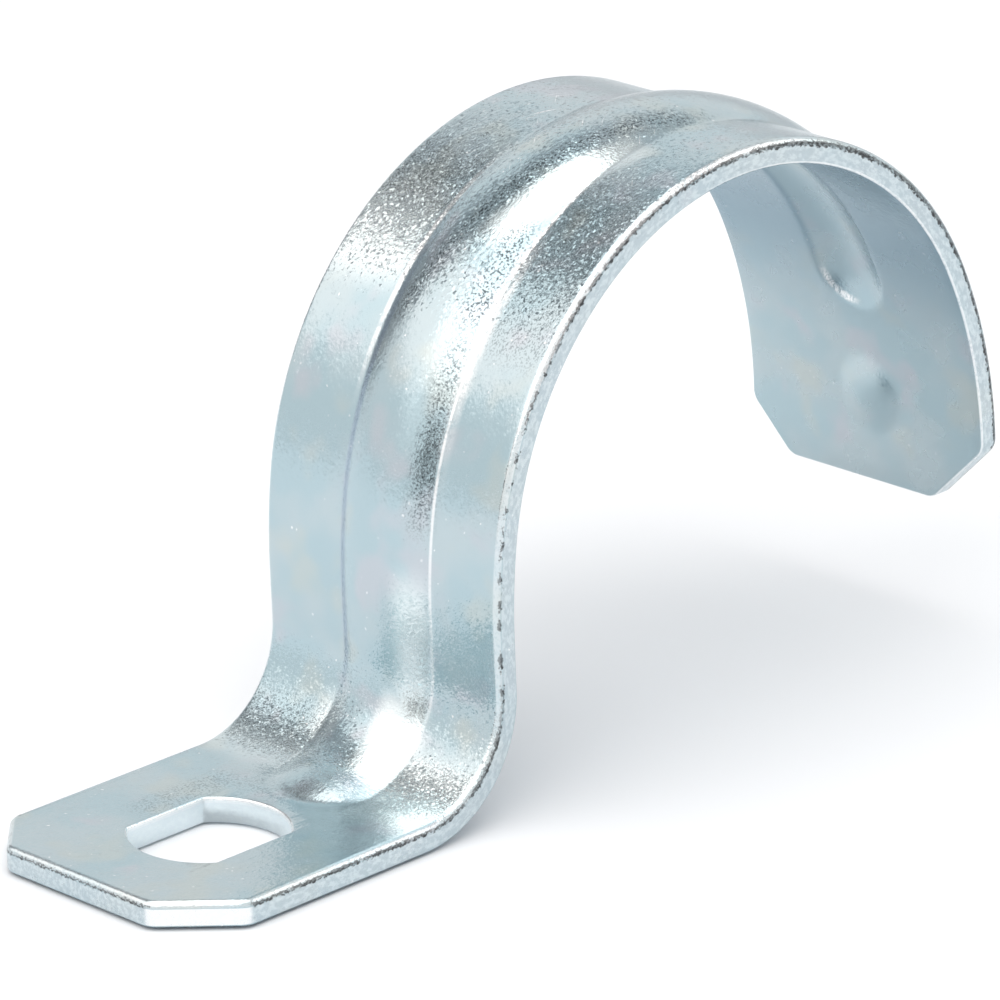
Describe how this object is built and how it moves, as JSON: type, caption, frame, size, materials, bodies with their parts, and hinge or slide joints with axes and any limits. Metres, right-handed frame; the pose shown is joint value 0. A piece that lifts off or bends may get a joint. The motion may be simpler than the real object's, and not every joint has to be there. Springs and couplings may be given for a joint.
{
  "type": "conduit strap",
  "caption": "One-hole strap that clamps a round conduit to a wall: a flat foot with a screw slot, a beaded arch over the conduit and a short free leg.",
  "frame": {"origin": "centre of the screw slot, on the underside of the foot", "axes": "+X along the foot towards the arch, +Y across the strip along the conduit, +Z away from the wall"},
  "size_m": [0.0717, 0.0199, 0.0387],
  "materials": {
    "zinc_plate": "bright zinc electroplate over pressed steel, satin with a pale blue cast"
  },
  "bodies": {
    "root": {"strap": "zinc_plate"}
  },
  "joints": []
}
